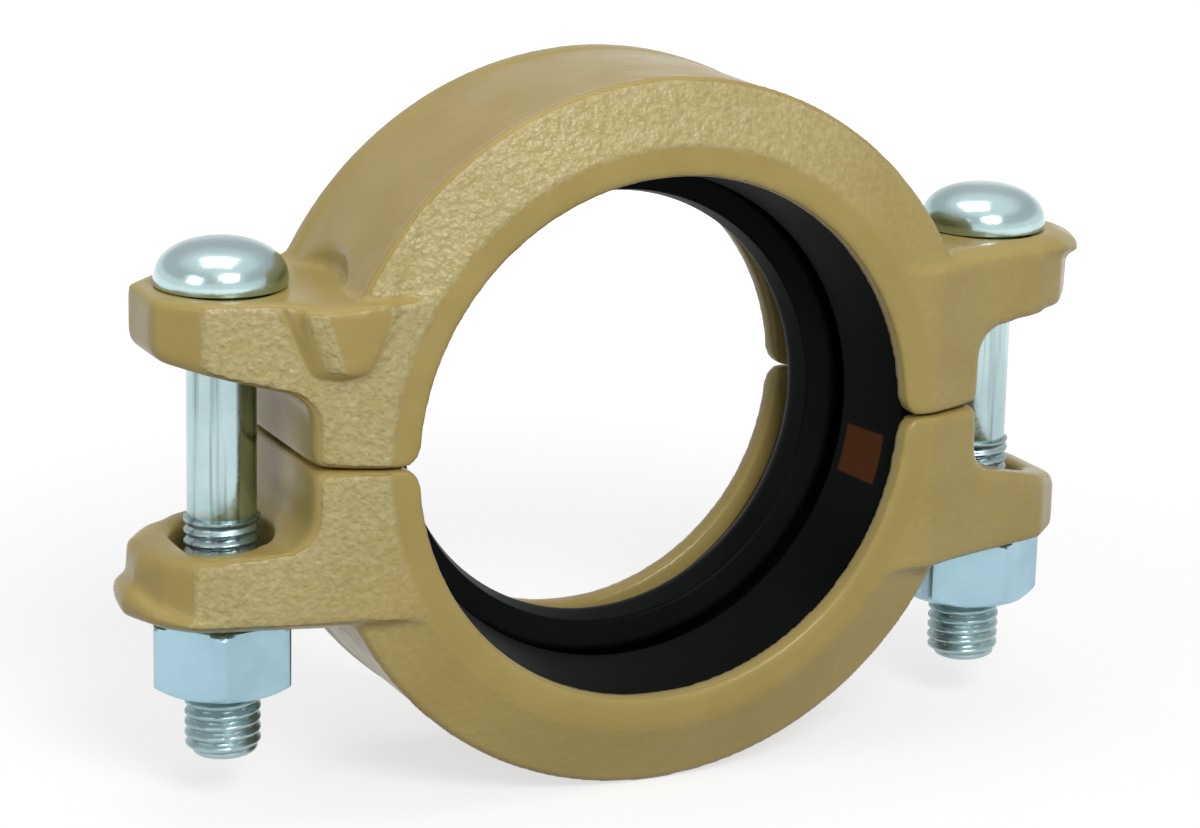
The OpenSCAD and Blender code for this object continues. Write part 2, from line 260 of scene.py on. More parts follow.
def join(
    name: str, objects: Sequence[bpy.types.Object], material: bpy.types.Material, sharp_deg: float
) -> bpy.types.Object:
    """Joins closed shells into one object, with outward faces and sharp edges past an angle.

    Args:
        name: The new object's name.
        objects: The shells. They are removed.
        material: The joined object's material.
        sharp_deg: Edges that turn further than this many degrees stay sharp.

    Returns:
        The joined object.
    """
    shells = bmesh.new()
    for obj in objects:
        shells.from_mesh(obj.data)
        bpy.data.objects.remove(obj)
    bmesh.ops.remove_doubles(shells, verts=shells.verts, dist=MERGE / 10)
    bmesh.ops.recalc_face_normals(shells, faces=shells.faces)
    for face in shells.faces:
        face.smooth = True
        face.material_index = 0
    mesh = close_shell(shells, name)
    mesh.materials.append(material)
    mesh.set_sharp_from_angle(angle=math.radians(sharp_deg))
    return add(name, mesh)


def steps_between(values: np.ndarray, low: Limit, high: Limit) -> np.ndarray:
    """Rises smoothly from 0 at the low value to 1 at the high value, for a whole array.

    Args:
        values: The values.
        low: The value that gives 0.
        high: The value that gives 1. It may be the smaller of the two.

    Returns:
        The smooth steps.
    """
    share = np.clip((values - low) / (high - low), 0.0, 1.0)
    return share * share * (3.0 - 2.0 * share)


def arc_corner(points: Sequence[tuple[float, float, float]], steps: int) -> list[tuple[float, float]]:
    """Rounds the corners of an open or closed outline.

    Args:
        points: The corners, each with its radius.
        steps: How many steps each rounded corner takes.

    Returns:
        The outline with an arc at each corner that has a radius.
    """
    out: list[tuple[float, float]] = []
    count = len(points)
    for i, (x, y, radius) in enumerate(points):
        here = Vector((x, y))
        before = Vector(points[i - 1][:2])
        after = Vector(points[(i + 1) % count][:2])
        if radius <= 0.0:
            out.append((x, y))
            continue
        u, v = (before - here).normalized(), (after - here).normalized()
        half = u.angle(v) / 2
        room = min((before - here).length, (after - here).length) * MOST_OF_EDGE
        reach = min(radius / math.tan(half), room)
        start, end = here + u * reach, here + v * reach
        for k in range(steps + 1):
            t = k / steps
            weight = 2 * t * (1 - t)
            blend = weight * math.sin(half) if half < math.pi / 2 else weight
            near, far = (1 - t) ** 2, t**2
            total = near + blend + far
            point = (start * near + here * blend + end * far) / total
            out.append((point.x, point.y))
    return out


def lathe(
    name: str,
    outline: Sequence[tuple[float, float]],
    place: Callable[[float, float, float], Vector],
    columns: int,
    material: bpy.types.Material,
) -> bpy.types.Object:
    """Turns a closed outline, or one that starts and ends on the axis, into a shell.

    Args:
        name: The object's name.
        outline: Pairs of radius and height.
        place: Gives the point for a radius, a height and an angle.
        columns: How many columns go round.
        material: The shell's material.

    Returns:
        The shell.
    """
    shell = bmesh.new()
    rings = []
    for radius, height in outline:
        if radius <= ON_AXIS:
            rings.append([shell.verts.new(place(0.0, height, 0.0))] * columns)
            continue
        turns = (math.tau * k / columns for k in range(columns))
        rings.append([shell.verts.new(place(radius, height, turn)) for turn in turns])
    closed = outline[0][0] > ON_AXIS
    last = len(rings) if closed else len(rings) - 1
    for i in range(last):
        low, high = rings[i], rings[(i + 1) % len(rings)]
        for k in range(columns):
            n = (k + 1) % columns
            corners = list(dict.fromkeys((low[k], low[n], high[n], high[k])))
            if len(corners) > 2:
                shell.faces.new(corners)
    bmesh.ops.recalc_face_normals(shell, faces=shell.faces)
    mesh = close_shell(shell, name)
    mesh.materials.append(material)
    return add(name, mesh)


class SkinTree:
    """A geometry nodes tree that bends a grid round the bolt's axis into a closed skin.

    The grid's long side goes round the axis. Its other side runs along the section.
    """

    def __init__(self, name: str, sizes: Iterable[str], columns: int, rows: int) -> None:
        """Starts the tree with its named inputs and its grid.

        Args:
            name: The tree's name.
            sizes: The named inputs.
            columns: How many columns go round the axis.
            rows: How many rows run along the section.
        """
        self.tree = bpy.data.node_groups.new(name, "GeometryNodeTree")
        face = self.tree.interface
        face.new_socket("Geometry", in_out="INPUT", socket_type="NodeSocketGeometry")
        for size in sizes:
            face.new_socket(size, in_out="INPUT", socket_type="NodeSocketFloat")
        face.new_socket("Material", in_out="INPUT", socket_type="NodeSocketMaterial")
        face.new_socket("Geometry", in_out="OUTPUT", socket_type="NodeSocketGeometry")
        self.inputs = self.tree.nodes.new("NodeGroupInput")
        self.grid = self.tree.nodes.new("GeometryNodeMeshGrid")
        self.grid.inputs["Size X"].default_value = math.tau
        self.grid.inputs["Size Y"].default_value = 1.0
        self.grid.inputs["Vertices X"].default_value = columns + 1
        self.grid.inputs["Vertices Y"].default_value = rows + 1
        position = self.tree.nodes.new("GeometryNodeInputPosition")
        self.turn, along, _ = split(self.tree, position.outputs[0])
        self.along = along + 0.5

    def size(self, name: str) -> Num:
        """The named input."""
        return Num(self.tree, self.inputs.outputs[name])

    def close(self, radius: Num, height: Num) -> bpy.types.NodeTree:
        """Places the grid's points and ends the tree.

        Args:
            radius: Each point's distance from the axis.
            height: Each point's height.

        Returns:
            The finished tree.
        """
        tree = self.tree
        place = tree.nodes.new("ShaderNodeCombineXYZ")
        axis = self.size("Axis X")
        tree.links.new((radius * self.turn.op("COSINE") + axis).socket, place.inputs[0])
        tree.links.new((radius * self.turn.op("SINE")).socket, place.inputs[1])
        tree.links.new(height.socket, place.inputs[2])
        move = tree.nodes.new("GeometryNodeSetPosition")
        merge = tree.nodes.new("GeometryNodeMergeByDistance")
        merge.inputs["Distance"].default_value = MERGE
        realize = tree.nodes.new("GeometryNodeRealizeInstances")
        dress = tree.nodes.new("GeometryNodeSetMaterial")
        out = tree.nodes.new("NodeGroupOutput")
        tree.links.new(self.grid.outputs["Mesh"], move.inputs["Geometry"])
        tree.links.new(place.outputs[0], move.inputs["Position"])
        tree.links.new(move.outputs[0], merge.inputs["Geometry"])
        tree.links.new(merge.outputs[0], realize.inputs[0])
        tree.links.new(realize.outputs[0], dress.inputs["Geometry"])
        tree.links.new(self.inputs.outputs["Material"], dress.inputs["Material"])
        tree.links.new(dress.outputs[0], out.inputs[0])
        return tree


def grow(name: str, tree: bpy.types.NodeTree, values: dict[str, object]) -> bpy.types.Object:
    """Runs a skin tree with its own values and keeps the result as a plain mesh.

    Args:
        name: The object's name.
        tree: The geometry nodes tree.
        values: The inputs to set, by name.

    Returns:
        The plain mesh object.
    """
    holder = add(name + "_holder", bpy.data.meshes.new(name + "_holder"))
    modifier = holder.modifiers.new("skin", "NODES")
    modifier.node_group = tree
    for key, value in values.items():
        set_input(modifier, key, value)
    return plain_mesh(holder, name)


def shader_group(name: str, inputs: dict[str, float], outputs: Iterable[str]) -> bpy.types.NodeTree:
    """Makes an empty shader node group with number sockets.

    Args:
        name: The group's name.
        inputs: The inputs with their usual values.
        outputs: The outputs' names.

    Returns:
        The group, with its input and output nodes in place.
    """
    group = bpy.data.node_groups.new(name, "ShaderNodeTree")
    for key, usual in inputs.items():
        group.interface.new_socket(key, in_out="INPUT", socket_type="NodeSocketFloat").default_value = usual
    for key in outputs:
        group.interface.new_socket(key, in_out="OUTPUT", socket_type="NodeSocketFloat")
    group.nodes.new("NodeGroupInput").name = "in"
    group.nodes.new("NodeGroupOutput").name = "out"
    return group


def noise(tree: bpy.types.NodeTree, vector: bpy.types.NodeSocket, scale: float, detail: float) -> Num:
    """Adds a noise texture.

    Args:
        tree: The node tree.
        vector: Where the noise is read.
        scale: The noise's scale, in features per metre.
        detail: How many finer layers it has.

    Returns:
        The noise's value.
    """
    node = tree.nodes.new("ShaderNodeTexNoise")
    node.inputs["Scale"].default_value = scale
    node.inputs["Detail"].default_value = detail
    tree.links.new(vector, node.inputs["Vector"])
    return Num(tree, node.outputs[0])


def surface_grain() -> bpy.types.NodeTree:
    """The shared grain of cast, plated and moulded surfaces.

    Returns:
        A group that gives the bump's Height, a coarse Mottle and fine Specks, each about 0 to 1.
    """
    known = bpy.data.node_groups.get("surface_grain")
    if known:
        return known
    group = shader_group("surface_grain", {"Scale": 1000.0, "Roughen": 0.5}, ("Height", "Mottle", "Specks"))
    ins, outs = group.nodes["in"], group.nodes["out"]
    where = group.nodes.new("ShaderNodeTexCoord").outputs["Object"]
    scaled = group.nodes.new("ShaderNodeVectorMath")
    scaled.operation = "SCALE"
    group.links.new(where, scaled.inputs[0])
    group.links.new(ins.outputs["Scale"], scaled.inputs["Scale"])
    pits, fine, mottle, blots = (noise(group, scaled.outputs[0], *layer) for layer in GRAIN_LAYERS)
    height = pits + (fine - 0.5) * Num(group, ins.outputs["Roughen"])
    group.links.new(height.socket, outs.inputs["Height"])
    group.links.new(mottle.ramp(*MOTTLE_REACH).socket, outs.inputs["Mottle"])
    group.links.new(blots.ramp(*BLOT_REACH).socket, outs.inputs["Specks"])
    return group


class Shader:
    """One material's node tree, with the principled shader and short ways to feed it."""

    def __init__(self, name: str) -> None:
        """Makes a material with a principled shader.

        Args:
            name: The material's name.
        """
        self.material = bpy.data.materials.new(name)
        self.material.use_nodes = True
        self.tree = self.material.node_tree
        self.face = self.tree.nodes["Principled BSDF"]

    def set(self, **values: object) -> None:
        """Sets constant sockets, with underscores for the spaces in their names."""
        for key, value in values.items():
            self.face.inputs[key.replace("_", " ")].default_value = value

    def grain(self, scale: float, roughen: float) -> dict[str, Num]:
        """Places the shared grain group.

        Args:
            scale: Its features per metre.
            roughen: How strongly its finest layer counts.

        Returns:
            The group's outputs by name.
        """
        node = self.tree.nodes.new("ShaderNodeGroup")
        node.node_tree = surface_grain()
        node.inputs["Scale"].default_value = scale
        node.inputs["Roughen"].default_value = roughen
        return {socket.name: Num(self.tree, socket) for socket in node.outputs}

    def place(self) -> tuple[Num, Num, Num]:
        """The point on the object, as three numbers."""
        return split(self.tree, self.tree.nodes.new("ShaderNodeTexCoord").outputs["Object"])

    def mix(self, share: Num, low: "Union[Color, bpy.types.NodeSocket]", high: Color) -> bpy.types.NodeSocket:
        """Mixes two colours.

        Args:
            share: How much of the second colour shows.
            low: The first colour, or a socket that gives it.
            high: The second colour.

        Returns:
            The mixed colour's socket.
        """
        node = self.tree.nodes.new("ShaderNodeMix")
        node.data_type = "RGBA"
        self.tree.links.new(share.socket, node.inputs["Factor"])
        if isinstance(low, bpy.types.NodeSocket):
            self.tree.links.new(low, node.inputs[6])
        else:
            node.inputs[6].default_value = (*low, 1.0)
        node.inputs[7].default_value = (*high, 1.0)
        return node.outputs[2]

    def feed(self, key: str, source: "Union[Num, bpy.types.NodeSocket]") -> None:
        """Links a number or a socket to one of the shader's inputs.

        Args:
            key: The input's name.
            source: What feeds it.
        """
        self.tree.links.new(source.socket if isinstance(source, Num) else source, self.face.inputs[key])

    def bump(self, height: Num, strength: float, distance: float) -> None:
        """Feeds the normal through a bump node.

        Args:
            height: The bump's height, about 0 to 1.
            strength: The bump node's strength.
            distance: How deep a height of 1 is, in metres.
        """
        node = self.tree.nodes.new("ShaderNodeBump")
        node.inputs["Strength"].default_value = strength
        node.inputs["Distance"].default_value = distance
        self.tree.links.new(height.socket, node.inputs["Height"])
        self.feed("Normal", node.outputs[0])


@dataclass(frozen=True)
class OchrePaint:
    """Glossy ochre paint over a cast surface."""

    color: Color = (0.384, 0.294, 0.095)
    # The pale colour is painted glints: the rough cast faces are lightened towards it, as where light catches
    # a grainy paint.
    pale: Color = (0.64, 0.62, 0.39)
    deep: Color = (0.298, 0.218, 0.06)
    grain_per_m: float = 600.0
    grain_depth: float = 0.6 * MM
    grain_finest: float = 0.35
    plain_r: float = 62.4 * MM
    facing: Span = (0.72, 0.9)
    # Where the grain and its painted glints fade: away from the upper left, where the light falls, down to the
    # least share.
    lit_side_way: Span = (-0.6, 0.8)
    lit_side_reach: Span = (-5.0 * MM, 40.0 * MM)
    least_lit_side: float = 0.15
    half_w: float = 27.2 * MM
    flank_x: float = 63.1 * MM
    flank_slope: float = 0.35
    boss_lean: float = 0.325
    mottle_share: float = 0.35
    # How far the rough faces lighten towards the pale colour, evenly and with the specks: painted glints.
    painted_glints: Span = (0.15, 0.22)
    smooth_share: float = 0.08
    gloss: Span = (0.26, 0.1)

    def boss_facet(self, x: Num, y: Num, z: Num) -> Num:
        """Where the boss's smooth inner facet lies.

        Args:
            x: The point's X.
            y: The point's Y.
            z: The point's Z.

        Returns:
            1 on the facet and 0 off it.
        """
        across = z.less_from(PAD_TOP) * self.boss_lean - x
        proud = ((x * -1.0 - self.flank_x) * self.flank_slope - y - self.half_w).ramp(MM / 2, MM)
        inside = across.ramp(BOSS_RIDGE_X + MM, BOSS_RIDGE_X)
        return proud * inside * z.ramp(BOSS_FOOT - MM / 2, BOSS_FOOT + MM / 2)

    def grain_and_glint_mask(self, shader: Shader) -> Num:
        """How rough the casting is, which also places the painted glints: most on the near and far faces
        outside the keys' flats, and towards the upper left, where the light falls.

        Args:
            shader: The paint's shader.

        Returns:
            1 where the sand left its full grain and the painted glints are strongest, and 0 where the surface
            is smooth.
        """
        x, y, z = shader.place()
        radius = (x * x + z * z).op("SQRT")
        outer = radius.ramp(self.plain_r - MM, self.plain_r + MM)
        facing = split(shader.tree, shader.tree.nodes.new("ShaderNodeTexCoord").outputs["Normal"])[1]
        flank = facing.op("ABSOLUTE").ramp(*self.facing)
        # Painted light: the grain, and with it the painted glints, is strongest towards the upper left, where
        # the light falls.
        along_x, along_z = self.lit_side_way
        lit_side = (z * along_z + x * along_x).ramp(*self.lit_side_reach)
        lit_side = lit_side * (1.0 - self.least_lit_side) + self.least_lit_side
        return outer * flank * lit_side * self.boss_facet(x, y, z).less_from(1.0)

    def build(self) -> bpy.types.Material:
        """Makes the paint, whose grain and painted glints follow the rough cast faces."""
        shader = Shader("ochre_paint")
        grain = shader.grain(self.grain_per_m, self.grain_finest)
        grain_and_glint_mask = self.grain_and_glint_mask(shader)
        tint = shader.mix(grain["Mottle"] * self.mottle_share, self.color, self.deep)
        # Painted glints: the rough faces are lightened towards the pale colour.
        even, speckled = self.painted_glints
        painted_glints = (grain["Specks"] * speckled + even) * grain_and_glint_mask
        shader.feed("Base Color", shader.mix(painted_glints, tint, self.pale))
        least, spread = self.gloss
        shader.feed("Roughness", grain["Mottle"] * spread + least)
        shader.set(Coat_Weight=0.04, Coat_Roughness=0.15, Specular_IOR_Level=0.24)
        relief = grain_and_glint_mask * (1.0 - self.smooth_share) + self.smooth_share
        shader.bump(grain["Height"] * relief, 1.0, self.grain_depth)
        return shader.material


@dataclass(frozen=True)
class BrightZinc:
    """Bright zinc plate."""

    name: str = "bright_zinc"
    color: Color = (0.52, 0.675, 0.685)
    cloudy: Color = (0.36, 0.485, 0.50)
    # The dark colour of the shank's lines, partly drawing marks and partly painted reflection, and of the
    # thread's painted shade.
    streak_and_shade_color: Color = (0.13, 0.165, 0.18)
    drawn_per_m: float = 440.0
    drawn_stretch: float = 0.03
    shank_top: float = 22.0 * MM
    thread_top: float = -13.0 * MM
    # How far the thread is darkened: painted shade.
    thread_shade: float = 0.35
    grain_per_m: float = 500.0
    grain_depth: float = 0.07 * MM
    grain_finest: float = 0.6
    bump_strength: float = 0.5
    cloudy_share: float = 0.6
    line_share: float = 0.6
    line_reach: Span = (0.48, 0.64)
    gloss: Span = (0.14, 0.12)
    thread_dulling: float = 0.2

    def build(self) -> bpy.types.Material:
        """Makes the plate, a little cloudy, with dark lines along the shank, partly marks that drawing left
        and partly painted reflection, and a darker thread, which is painted shade.
        """
        shader = Shader(self.name)
        grain = shader.grain(self.grain_per_m, self.grain_finest)
        x, y, z = shader.place()
        lengthwise = shader.tree.nodes.new("ShaderNodeCombineXYZ")
        for place, part in enumerate((x, y, z * self.drawn_stretch)):
            shader.tree.links.new(part.socket, lengthwise.inputs[place])
        lines = noise(shader.tree, lengthwise.outputs[0], self.drawn_per_m, 3.0).ramp(*self.line_reach)
        shank = z.op("ABSOLUTE").ramp(self.shank_top + MM, self.shank_top)
        cloudy = shader.mix(grain["Mottle"] * self.cloudy_share, self.color, self.cloudy)
        thread = z.ramp(self.thread_top, self.thread_top - MM)
        # Painted reflection and shade: dark lengthwise lines on the shank, partly drawing marks, and a darker
        # thread.
        marks_and_painted_shade = lines * shank * self.line_share + thread * self.thread_shade
        shader.feed("Base Color", shader.mix(marks_and_painted_shade, cloudy, self.streak_and_shade_color))
        least, spread = self.gloss
        shader.feed("Roughness", grain["Mottle"] * spread + thread * self.thread_dulling + least)
        shader.set(Metallic=1.0)
        shader.bump(grain["Height"], self.bump_strength, self.grain_depth)
        return shader.material


@dataclass(frozen=True)
class MouldedRubber:
    """Satin black rubber with one plain painted mark on the large lip."""

    color: Color = (0.0035, 0.0044, 0.0042)
    dusty: Color = (0.0072, 0.0092, 0.0088)
    mark: Color = (0.075, 0.026, 0.009)
    mark_turn_deg: Span = (-17.6, -6.4)
    mark_y: Span = (-17.2 * MM, -6.2 * MM)
    mark_blur_deg: float = 0.25
    mark_blur: float = 0.25 * MM
    grain_per_m: float = 350.0
    grain_depth: float = 0.05 * MM
    grain_finest: float = 0.3
    bump_strength: float = 0.12
    dusty_share: float = 0.5
    gloss: Span = (0.36, 0.1)

    def build(self) -> bpy.types.Material:
        """Makes the rubber, with the mark as a mask on the object's own coordinates."""
        shader = Shader("moulded_rubber")
        grain = shader.grain(self.grain_per_m, self.grain_finest)
        x, y, z = shader.place()
        turn = z.op("ARCTAN2", x) * math.degrees(1.0)
        soft_deg, soft = self.mark_blur_deg, self.mark_blur
        low, high = self.mark_turn_deg
        round_mask = turn.ramp(low - soft_deg, low + soft_deg) * turn.ramp(high + soft_deg, high - soft_deg)
        near, far = self.mark_y
        long_mask = y.ramp(near - soft, near + soft) * y.ramp(far + soft, far - soft)
        base = shader.mix(grain["Mottle"] * self.dusty_share, self.color, self.dusty)
        shader.feed("Base Color", shader.mix(round_mask * long_mask, base, self.mark))
        least, spread = self.gloss
        shader.feed("Roughness", grain["Mottle"] * spread + least)
        shader.set(Specular_IOR_Level=0.03)
        shader.bump(grain["Height"], self.bump_strength, self.grain_depth)
        return shader.material


@dataclass
class Casting:
    """One housing half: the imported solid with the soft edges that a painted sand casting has."""

    half: Half
    paint: bpy.types.Material
    voxel: float = 0.79 * MM
    # Where the ring ends at the necks, and the flanks of the pads.
    neck_x: float = 76.9 * MM
    flank_y: float = 22.4 * MM
    flank_slope: float = 0.283
    ear_x: float = 66.0 * MM
    ear_fades: Span = (4.0 * MM, 5.0 * MM)
    # The lipped pad's many-sided end. Each corner has its degrees from straight outwards and its radius.
    end_r: float = 19.1 * MM
    end_core_r: float = 15.0 * MM
    end_limit_r: float = 25.0 * MM
    end_corners: tuple[tuple[float, float], ...] = (
        (-77.0, 19.2 * MM),
        (-53.5, 19.2 * MM),
        (-30.0, 18.8 * MM),
        (-4.0, 19.3 * MM),
        (26.0, 20.1 * MM),
        (53.0, 19.6 * MM),
        (77.0, 19.2 * MM),
    )
    lip_h: float = 8.2 * MM
    lip_slant: float = 0.3
    lip_share: float = 1.35
    # The band round the outside, the near rim's bead beside it, and the ring's outer edges.
    band_r: float = 76.1 * MM
    band_rounding: float = 0.9 * MM
    rim_y: float = 20.9 * MM
    rim_w: float = 1.7 * MM
    rim_h: float = 0.45 * MM
    rim_blend: float = 0.3 * MM
    edge_push: float = 0.55 * MM
    edge_reach: Span = (2.6 * MM, 0.4 * MM)
    edge_shares: Span = (0.8, 0.5)
    # The upper half's boss: its reach, its ridge, its sides and its raised border.
    boss_y: Span = (-15.0 * MM, -17.5 * MM)
    boss_lean_deg: float = 18.0
    boss_edge_x: float = 83.5 * MM
    boss_edge_in: float = 0.8 * MM
    boss_fade: Span = (9.0 * MM, 1.0 * MM)
    boss_foot_fade: Span = (5.0 * MM, 1.0 * MM)
    boss_shift: float = -0.4 * MM
    boss_spread: float = 1.4 * MM
    boss_side_x: float = 61.3 * MM
    boss_side_lean: float = 0.383
    boss_step: float = 0.6 * MM
    boss_crest: float = 0.8 * MM
    crisp: float = 0.4 * MM
    # The scoop beside each head.
    scoop_r: float = 25.5 * MM
    scoop_core_r: float = 10.0 * MM
    scoop_rise: float = 0.3 * MM
    # How much of the smoothing the pads, the upright corners and the pads' outer undersides take.
    ear_share: float = 0.025
    corner_share: float = 0.4
    corner_reach: float = 7.0 * MM
    corner_z: Span = (19.0 * MM, 15.0 * MM)
    under_share: float = 0.26
    under_x: Span = (90.0 * MM, 99.0 * MM)
    under_z: Span = (26.0 * MM, 22.0 * MM)
    even_passes: int = 3
    soft_passes: int = 90
    weight_levels: int = 40

    @property
    def node(self) -> str:
        """The housing's node."""
        return f"{self.half.value}_housing"

    @property
    def side(self) -> float:
        """1 for the upper half, and -1 for the lower one, which is the same casting turned over."""
        return 1.0 if self.half is Half.UPPER else -1.0

    @property
    def bolt_x(self) -> float:
        """How far each bolt's axis stands from the pipe's axis."""
        low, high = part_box("right_bolt")
        return (low.x + high.x) / 2

    def remeshed(self, obj: bpy.types.Object, name: str) -> bpy.types.Object:
        """Remeshes an object evenly.

        Args:
            obj: The object. It is removed.
            name: The new object's name.

        Returns:
            The evenly meshed object.
        """
        remesh = obj.modifiers.new("even", "REMESH")
        remesh.mode = "VOXEL"
        remesh.voxel_size = self.voxel
        remesh.use_smooth_shade = True
        return plain_mesh(obj, name)

    @staticmethod
    def points(obj: bpy.types.Object) -> np.ndarray:
        """An object's vertices as rows of X, Y and Z."""
        found = np.empty(len(obj.data.vertices) * 3)
        obj.data.vertices.foreach_get("co", found)
        return found.reshape(-1, 3)

    def end_wall(self, turn: np.ndarray) -> np.ndarray:
        """The many-sided end's distance from the bolt's axis.

        Args:
            turn: Angles about the bolt's axis, in degrees, from straight outwards.

        Returns:
            The wall's radius at each angle.
        """
        wall = np.full(len(turn), self.end_r)
        for (start, start_r), (end, end_r) in zip(self.end_corners, self.end_corners[1:]):
            facet = (turn >= start) & (turn < end)
            past, left = np.radians(turn[facet] - start), np.radians(end - turn[facet])
            span = start_r * end_r * math.sin(math.radians(end - start))
            wall[facet] = span / (start_r * np.sin(past) + end_r * np.sin(left))
        return wall

    def cut_end(self, points: np.ndarray, rise: np.ndarray) -> None:
        """Cuts the lipped pad's end to its many sides and slants its lip.

        Args:
            points: The housing's points. They are changed.
            rise: Each point's height towards this half's own pads.
        """
        out, along = self.side * points[:, 0] - self.bolt_x, points[:, 1]
        radius, turn = np.hypot(out, along), np.degrees(np.arctan2(along, out))
        body = np.minimum(radius, self.end_r)
        body = body + (self.end_wall(turn) - self.end_r) * steps_between(body, self.end_core_r, self.end_r)
        lip_foot = PAD_TOP - self.lip_h - self.lip_slant * along
        lip = np.maximum(radius - self.end_r, 0) * self.lip_share
        lip = lip * steps_between(rise, lip_foot - MM / 2, lip_foot + MM / 2)
        ending = (np.abs(turn) < self.end_corners[-1][0]) & (radius > MM) & (radius < self.end_limit_r)
        grown = np.where(ending, (body + lip) / np.maximum(radius, MM), 1.0)
        points[:, 0] = self.side * (self.bolt_x + out * grown)
        points[:, 1] = along * grown

    def raise_rim(self, points: np.ndarray) -> None:
        """Sinks the band behind the near rim a little and crisps the ring's outer edges.

        Args:
            points: The housing's points. They are changed.
        """
        pipe_r, width = np.hypot(points[:, 0], points[:, 2]), np.abs(points[:, 1])
        ring = steps_between(np.abs(points[:, 0]), self.ear_x + self.ear_fades[1], self.ear_x)
        off_corner = np.hypot(self.band_r - pipe_r, self.flank_y - width)
        push = self.edge_push * steps_between(off_corner, *self.edge_reach)
        soft = self.rim_blend
        round_r, rim_in = self.band_r - self.band_rounding, self.rim_y - self.rim_w
        on_band = steps_between(pipe_r, round_r - soft, round_r + soft)
        near = points[:, 1] < 0
        sunk = self.rim_h * on_band * near * steps_between(width, self.rim_y + soft, self.rim_y - soft)
        sunk = sunk * steps_between(width, rim_in - soft, rim_in + soft)
        outwards, along = self.edge_shares
        grown = 1 + ring * (push * outwards - sunk) / np.maximum(pipe_r, MM)
        points[:, 0] *= grown
        points[:, 2] *= grown
        points[:, 1] += np.sign(points[:, 1]) * ring * push * along

    def sharpen_boss(self, points: np.ndarray, rise: np.ndarray) -> None:
        """Moves the boss's outer side and brings its outline and its ridge out crisply.

        Args:
            points: The upper housing's points. They are changed.
            rise: Each point's height.
        """
        across = -points[:, 0] + (PAD_TOP - rise) * math.tan(math.radians(self.boss_lean_deg))
        fade_end, fade_start = self.boss_fade
        height_share = (rise - BOSS_FOOT) / (PAD_TOP - BOSS_FOOT)
        reach = self.boss_shift + self.boss_spread * np.clip(height_share, 0, 1)
        shift = steps_between(across, BOSS_RIDGE_X, self.boss_edge_x) * reach
        shift *= steps_between(across, self.boss_edge_x + fade_end, self.boss_edge_x + fade_start)
        shift *= steps_between(points[:, 1], *self.boss_y)
        shift *= steps_between(rise, *(BOSS_FOOT - below for below in self.boss_foot_fade))
        points[:, 0] -= shift
        points[:, 1] += shift * self.flank_slope
        edge = self.boss_edge_x - self.boss_edge_in
        past_side = -points[:, 0] - self.boss_side_x - (PAD_TOP - rise) * self.boss_side_lean
        block = steps_between(past_side, -self.crisp, self.crisp)
        block *= steps_between(across, edge + self.crisp, edge - self.crisp)
        block *= steps_between(rise, BOSS_FOOT - self.crisp, BOSS_FOOT + self.crisp)
        block *= steps_between(points[:, 1], *self.boss_y)
        crest = 1 - np.abs(across - BOSS_RIDGE_X) / (self.boss_edge_x - self.boss_side_x)
        points[:, 1] -= block * (self.boss_step + self.boss_crest * np.clip(crest, 0, 1))

    def widen_scoop(self, points: np.ndarray, rise: np.ndarray) -> None:
        """Widens the scoop that the ring has beside each bolt's head.

        Args:
            points: The housing's points. They are changed.
            rise: Each point's height towards this half's own pads.
        """
        inward = self.bolt_x - np.abs(points[:, 0])
        reach = np.hypot(inward, points[:, 1])
        above = (inward > 0) & (rise > PAD_TOP + self.scoop_rise)
        scoop = above & (reach < self.scoop_r) & (reach > self.scoop_core_r)
        wider = np.where(scoop, self.scoop_r / np.maximum(reach, MM), 1.0)
        widened = np.sign(points[:, 0]) * (self.bolt_x - inward * wider)
        points[:, 0] = np.where(scoop, widened, points[:, 0])
        points[:, 1] *= wider

    def pattern(self, obj: bpy.types.Object) -> None:
        """Brings out the forms that the pattern gave the casting.

        Args:
            obj: The remeshed housing.
        """
        points = self.points(obj)
        rise = self.side * points[:, 2]
        self.cut_end(points, rise)
        self.raise_rim(points)
        if self.half is Half.UPPER:
            self.sharpen_boss(points, rise)
        self.widen_scoop(points, rise)
        obj.data.vertices.foreach_set("co", points.ravel())
        obj.data.update()

    def solid(self) -> bpy.types.Object:
        """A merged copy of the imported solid."""
        shell = bmesh.new()
        shell.from_mesh(frame["nodes"][self.node].data)
        bmesh.ops.remove_doubles(shell, verts=shell.verts, dist=MERGE)
        return add(self.node + "_solid", close_shell(shell, self.node + "_solid"))

    def build(self) -> bpy.types.Object:
        """Remeshes the solid evenly, brings out its cast forms and rounds its edges.

        Returns:
            The housing as one piece, riding on its body.
        """
        obj = self.remeshed(self.solid(), self.node + "_rough")
        self.pattern(obj)
        obj = self.remeshed(obj, self.node + "_even")
        self.weigh(obj)
        even = obj.modifiers.new("even", "SMOOTH")
        even.factor = 0.5
        even.iterations = self.even_passes
        soft = obj.modifiers.new("soft", "SMOOTH")
        soft.factor = 0.5
        soft.iterations = self.soft_passes
        soft.vertex_group = "soft"
        made = plain_mesh(obj, self.node + "_cast")
        made.data.materials.clear()
        made.data.materials.append(self.paint)
        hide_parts(self.node)
        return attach(made, f"{self.half.value}_half")

